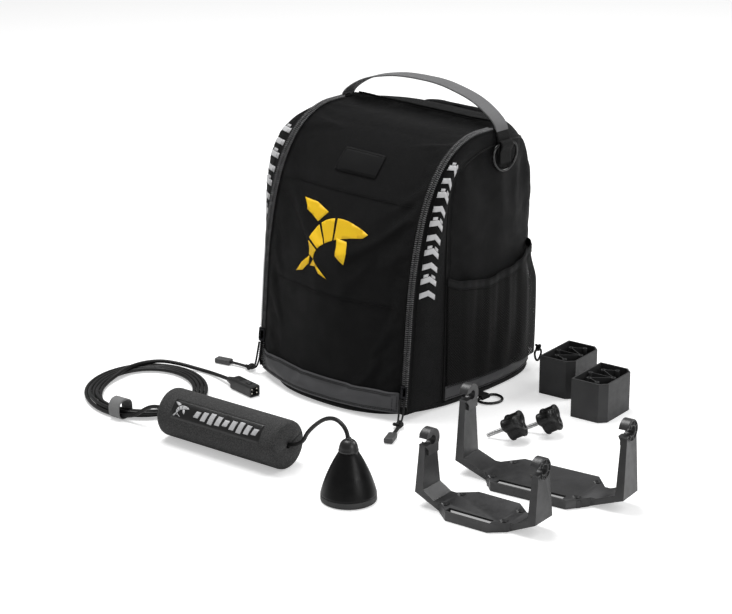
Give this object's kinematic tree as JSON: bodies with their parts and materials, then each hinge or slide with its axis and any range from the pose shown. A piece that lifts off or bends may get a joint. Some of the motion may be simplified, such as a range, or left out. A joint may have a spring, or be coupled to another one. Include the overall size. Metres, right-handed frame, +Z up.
{
  "type": "portable fish finder kit",
  "caption": "Soft carrying case with zipped front flap, sonar transducer with float and coiled cable, U brackets, riser blocks and clamp knobs.",
  "frame": {"origin": "centre of the bag's base, on the floor", "axes": "+Z up; the bag's front faces -Y; +X is to the right of someone who faces the bag's front"},
  "size_m": [0.8575, 0.599, 0.437],
  "materials": {
    "bag_fabric": "woven polyester, matt",
    "binding": "woven binding tape",
    "stiffener_board": "moulded sheet",
    "grey_band": "satin reflective tape",
    "zipper_coil": "nylon coil",
    "pocket_mesh": "open knitted mesh",
    "black_webbing": "ribbed webbing",
    "hook_loop": "hook and loop tape",
    "slider_metal": "black enamelled zinc",
    "pull_cord": "braided cord",
    "grip_plastic": "moulded rubber",
    "grey_webbing": "ribbed webbing",
    "ring_plastic": "smooth acetal",
    "transducer_plastic": "satin",
    "potting": "cast resin",
    "ceramic": "fired ceramic",
    "cable_jacket": "extruded jacket",
    "plug_plastic": "moulded",
    "contact_metal": "plated",
    "foam": "closed-cell foam, open skin",
    "bracket_plastic": "fine spark texture",
    "riser_plastic": "fine spark texture",
    "knob_plastic": "moulded",
    "stud_steel": "rolled thread"
  },
  "bodies": {
    "bag": {"base_panel": "bag_fabric", "base_piping": "binding", "base_board": "stiffener_board", "back_panel": "bag_fabric", "side_panel_left": "bag_fabric", "side_panel_right": "bag_fabric", "gusset_left": "bag_fabric", "gusset_right": "bag_fabric", "top_panel": "bag_fabric", "side_band": "grey_band", "side_zip_left": "zipper_coil", "side_zip_right": "zipper_coil", "seam_piping": "binding", "mesh_pocket_left": "pocket_mesh", "mesh_pocket_right": "pocket_mesh", "pocket_binding_left": "binding", "pocket_binding_right": "binding", "ring_loop_left": "black_webbing", "ring_loop_right": "black_webbing", "floor_tab_left": "black_webbing", "floor_tab_right": "black_webbing", "rear_cord_loop": "binding"},
    "flap": {"flap_panel": "bag_fabric", "hem_band": "grey_band", "flap_zip_left": "zipper_coil", "flap_zip_right": "zipper_coil", "hook_loop_patch": "hook_loop"},
    "left_slider": {"slider_left": "slider_metal", "pull_cord_left": "pull_cord", "pull_grip_left": "grip_plastic"},
    "right_slider": {"slider_right": "slider_metal", "pull_cord_right": "pull_cord", "pull_grip_right": "grip_plastic"},
    "handle": {"carry_handle": "grey_webbing"},
    "left_d_ring": {"d_ring_left": "ring_plastic"},
    "right_d_ring": {"d_ring_right": "ring_plastic"},
    "left_floor_ring": {"floor_ring_left": "ring_plastic"},
    "right_floor_ring": {"floor_ring_right": "ring_plastic"},
    "sonar": {"transducer_cone": "transducer_plastic", "transducer_ring": "transducer_plastic", "transducer_cap": "transducer_plastic", "transducer_face": "potting", "piezo_element": "ceramic", "sonar_cable": "cable_jacket", "cable_coil": "cable_jacket", "cable_lead": "cable_jacket", "plug_boot": "plug_plastic", "plug_body": "plug_plastic", "plug_pins": "contact_metal", "tie_strap": "hook_loop"},
    "float": {"float_foam": "foam"},
    "small_bracket": {"bracket_small": "bracket_plastic"},
    "large_bracket": {"bracket_large": "bracket_plastic"},
    "front_riser": {"riser_front": "riser_plastic"},
    "rear_riser": {"riser_rear": "riser_plastic"},
    "front_knob": {"knob_front": "knob_plastic", "knob_stud_front": "stud_steel"},
    "rear_knob": {"knob_rear": "knob_plastic", "knob_stud_rear": "stud_steel"}
  },
  "joints": [
    {"name": "flap_hinge", "type": "hinge", "parent": "bag", "child": "flap", "pos_m": [0, 0.028, 0.383], "axis": [-1, 0, 0], "range_deg": [0, 80]},
    {"name": "slider_left_slide", "type": "slide", "parent": "flap", "child": "left_slider", "axis": [0, 0.0851, 0.9964], "range_m": [0, 0.1]},
    {"name": "slider_right_slide", "type": "slide", "parent": "flap", "child": "right_slider", "axis": [0, 0.0851, 0.9964], "range_m": [0, 0.11]},
    {"name": "handle_swing", "type": "hinge", "parent": "bag", "child": "handle", "pos_m": [0, 0.048, 0.374], "axis": [-1, 0, 0], "range_deg": [0, 50]},
    {"name": "d_ring_left_swing", "type": "hinge", "parent": "bag", "child": "left_d_ring", "pos_m": [-0.1549, 0.048, 0.364], "axis": [0, 1, 0], "range_deg": [0, 80]},
    {"name": "d_ring_right_swing", "type": "hinge", "parent": "bag", "child": "right_d_ring", "pos_m": [0.1549, 0.048, 0.364], "axis": [0, -1, 0], "range_deg": [0, 80]},
    {"name": "floor_ring_left_swing", "type": "hinge", "parent": "bag", "child": "left_floor_ring", "pos_m": [-0.165, 0, 0.0021], "axis": [0, 1, 0], "range_deg": [0, 75]},
    {"name": "floor_ring_right_swing", "type": "hinge", "parent": "bag", "child": "right_floor_ring", "pos_m": [0.165, 0, 0.0021], "axis": [0, -1, 0], "range_deg": [0, 75]},
    {"name": "sonar_lift", "type": "slide", "parent": "bag", "child": "sonar", "axis": [0, 0, 1], "range_m": [0, 0.15]},
    {"name": "float_slide", "type": "slide", "parent": "sonar", "child": "float", "axis": [-0.9956, -0.0941, 0], "range_m": [0, 0.02]},
    {"name": "bracket_small_lift", "type": "slide", "parent": "bag", "child": "small_bracket", "axis": [0, 0, 1], "range_m": [0, 0.15]},
    {"name": "bracket_large_lift", "type": "slide", "parent": "bag", "child": "large_bracket", "axis": [0, 0, 1], "range_m": [0, 0.18]},
    {"name": "riser_front_lift", "type": "slide", "parent": "bag", "child": "front_riser", "axis": [0, 0, 1], "range_m": [0, 0.1]},
    {"name": "riser_rear_lift", "type": "slide", "parent": "bag", "child": "rear_riser", "axis": [0, 0, 1], "range_m": [0, 0.1]},
    {"name": "knob_front_lift", "type": "slide", "parent": "bag", "child": "front_knob", "axis": [0, 0, 1], "range_m": [0, 0.08]},
    {"name": "knob_rear_lift", "type": "slide", "parent": "bag", "child": "rear_knob", "axis": [0, 0, 1], "range_m": [0, 0.08]}
  ]
}
